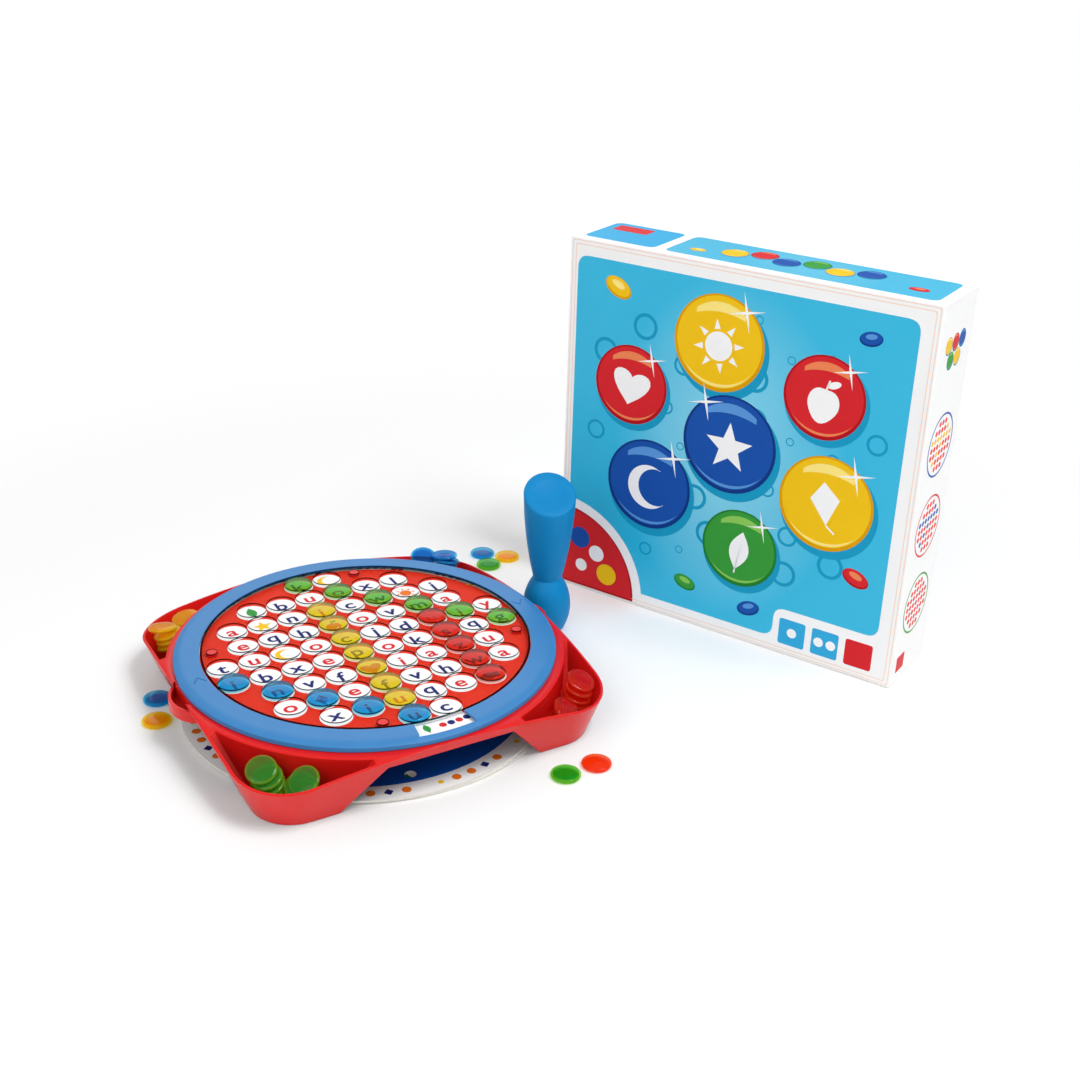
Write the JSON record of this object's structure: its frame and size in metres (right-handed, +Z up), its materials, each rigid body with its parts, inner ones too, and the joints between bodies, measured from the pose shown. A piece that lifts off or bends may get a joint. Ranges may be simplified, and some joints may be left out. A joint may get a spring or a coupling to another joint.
{
  "type": "word search board game",
  "caption": "Round letter board with a turning ring on a tray with corner bins, see-through tokens in a socket plate, spare cards, grab totem and lift-off box.",
  "frame": {"origin": "on the table under the middle of the whole set-out", "axes": "+Z up, +X along the letter rows towards the box, +Y away from the player"},
  "size_m": [0.5144, 0.3188, 0.27],
  "materials": {
    "tray_red": "moulded, satin gloss",
    "ring_blue": "moulded, satin",
    "plate_clear": "clear, polished",
    "totem_blue": "moulded, matt",
    "letter_print": "printed paper over greyboard",
    "green_print": "printed paper over greyboard",
    "blue_print": "printed paper over greyboard",
    "lid_print": "gloss printed paper over greyboard",
    "tray_paper": "white paper over greyboard",
    "token_green": "see-through, polished",
    "token_yellow": "see-through, polished",
    "token_red": "see-through, polished",
    "token_blue": "see-through, polished"
  },
  "bodies": {
    "box_lid": {"box_lid": "lid_print"},
    "box_tray": {"box_tray": "tray_paper"},
    "board_tray": {"base_tray": "tray_red"},
    "letter_card": {"letter_card": "letter_print"},
    "grid_plate": {"grid_plate": "plate_clear"},
    "turn_ring": {"turn_ring": "ring_blue"},
    "green_row": {"board_token_green_1": "token_green", "board_token_green_2": "token_green", "board_token_green_3": "token_green", "board_token_green_4": "token_green", "board_token_green_5": "token_green", "board_token_green_6": "token_green"},
    "yellow_row": {"board_token_yellow_1": "token_yellow", "board_token_yellow_2": "token_yellow", "board_token_yellow_3": "token_yellow", "board_token_yellow_4": "token_yellow", "board_token_yellow_5": "token_yellow", "board_token_yellow_6": "token_yellow", "board_token_yellow_7": "token_yellow"},
    "red_row": {"board_token_red_1": "token_red", "board_token_red_2": "token_red", "board_token_red_3": "token_red", "board_token_red_4": "token_red", "board_token_red_5": "token_red"},
    "blue_row": {"board_token_blue_1": "token_blue", "board_token_blue_2": "token_blue", "board_token_blue_3": "token_blue", "board_token_blue_4": "token_blue", "board_token_blue_5": "token_blue"},
    "green_pile": {"bin_token_green_1": "token_green", "bin_token_green_2": "token_green", "bin_token_green_3": "token_green", "bin_token_green_4": "token_green", "bin_token_green_5": "token_green"},
    "yellow_pile": {"bin_token_yellow_1": "token_yellow", "bin_token_yellow_2": "token_yellow", "bin_token_yellow_3": "token_yellow", "bin_token_yellow_4": "token_yellow", "bin_token_yellow_5": "token_yellow"},
    "red_pile": {"bin_token_red_1": "token_red", "bin_token_red_2": "token_red", "bin_token_red_3": "token_red", "bin_token_red_4": "token_red", "bin_token_red_5": "token_red"},
    "blue_pile": {"bin_token_blue_1": "token_blue", "bin_token_blue_2": "token_blue", "bin_token_blue_3": "token_blue", "bin_token_blue_4": "token_blue", "bin_token_blue_5": "token_blue"},
    "left_tokens": {"table_token_left_blue": "token_blue", "table_token_left_yellow": "token_yellow"},
    "front_tokens": {"table_token_front_green": "token_green", "table_token_front_red": "token_red"},
    "back_tokens": {"table_token_back_blue": "token_blue", "table_token_back_green": "token_green", "table_token_back_yellow": "token_yellow"},
    "spare_card_lower": {"spare_card_lower": "green_print"},
    "spare_card_upper": {"spare_card_upper": "blue_print"},
    "totem": {"totem": "totem_blue"}
  },
  "joints": [
    {"name": "box_tray_pull", "type": "slide", "parent": "box_lid", "child": "box_tray", "axis": [0.8988, 0.4384, 0], "range_m": [0, 0.07]},
    {"name": "board_lift", "type": "slide", "parent": "box_lid", "child": "board_tray", "axis": [0, 0, 1], "range_m": [0, 0.1]},
    {"name": "card_lift", "type": "slide", "parent": "board_tray", "child": "letter_card", "axis": [0, 0, 1], "range_m": [0, 0.03]},
    {"name": "plate_lift", "type": "slide", "parent": "letter_card", "child": "grid_plate", "axis": [0, 0, 1], "range_m": [0, 0.03]},
    {"name": "ring_turn", "type": "hinge", "parent": "grid_plate", "child": "turn_ring", "pos_m": [-0.11404, -0.00302, 0.04], "axis": [0, 0, 1], "continuous": true},
    {"name": "green_row_lift", "type": "slide", "parent": "grid_plate", "child": "green_row", "axis": [0, 0, 1], "range_m": [0, 0.03]},
    {"name": "yellow_row_lift", "type": "slide", "parent": "grid_plate", "child": "yellow_row", "axis": [0, 0, 1], "range_m": [0, 0.03]},
    {"name": "red_row_lift", "type": "slide", "parent": "grid_plate", "child": "red_row", "axis": [0, 0, 1], "range_m": [0, 0.03]},
    {"name": "blue_row_lift", "type": "slide", "parent": "grid_plate", "child": "blue_row", "axis": [0, 0, 1], "range_m": [0, 0.03]},
    {"name": "green_pile_lift", "type": "slide", "parent": "board_tray", "child": "green_pile", "axis": [0, 0, 1], "range_m": [0, 0.05]},
    {"name": "yellow_pile_lift", "type": "slide", "parent": "board_tray", "child": "yellow_pile", "axis": [0, 0, 1], "range_m": [0, 0.05]},
    {"name": "red_pile_lift", "type": "slide", "parent": "board_tray", "child": "red_pile", "axis": [0, 0, 1], "range_m": [0, 0.05]},
    {"name": "blue_pile_lift", "type": "slide", "parent": "board_tray", "child": "blue_pile", "axis": [0, 0, 1], "range_m": [0, 0.05]},
    {"name": "left_tokens_slide", "type": "slide", "parent": "box_lid", "child": "left_tokens", "axis": [-1, 0, 0], "range_m": [0, 0.04]},
    {"name": "front_tokens_slide", "type": "slide", "parent": "box_lid", "child": "front_tokens", "axis": [0, -1, 0], "range_m": [0, 0.04]},
    {"name": "back_tokens_slide", "type": "slide", "parent": "box_lid", "child": "back_tokens", "axis": [0, 1, 0], "range_m": [0, 0.04]},
    {"name": "lower_spare_lift", "type": "slide", "parent": "box_lid", "child": "spare_card_lower", "axis": [0, 0, 1], "range_m": [0, 0.012]},
    {"name": "upper_spare_lift", "type": "slide", "parent": "spare_card_lower", "child": "spare_card_upper", "axis": [0, 0, 1], "range_m": [0, 0.012]},
    {"name": "totem_lift", "type": "slide", "parent": "box_lid", "child": "totem", "axis": [0, 0, 1], "range_m": [0, 0.08]}
  ]
}
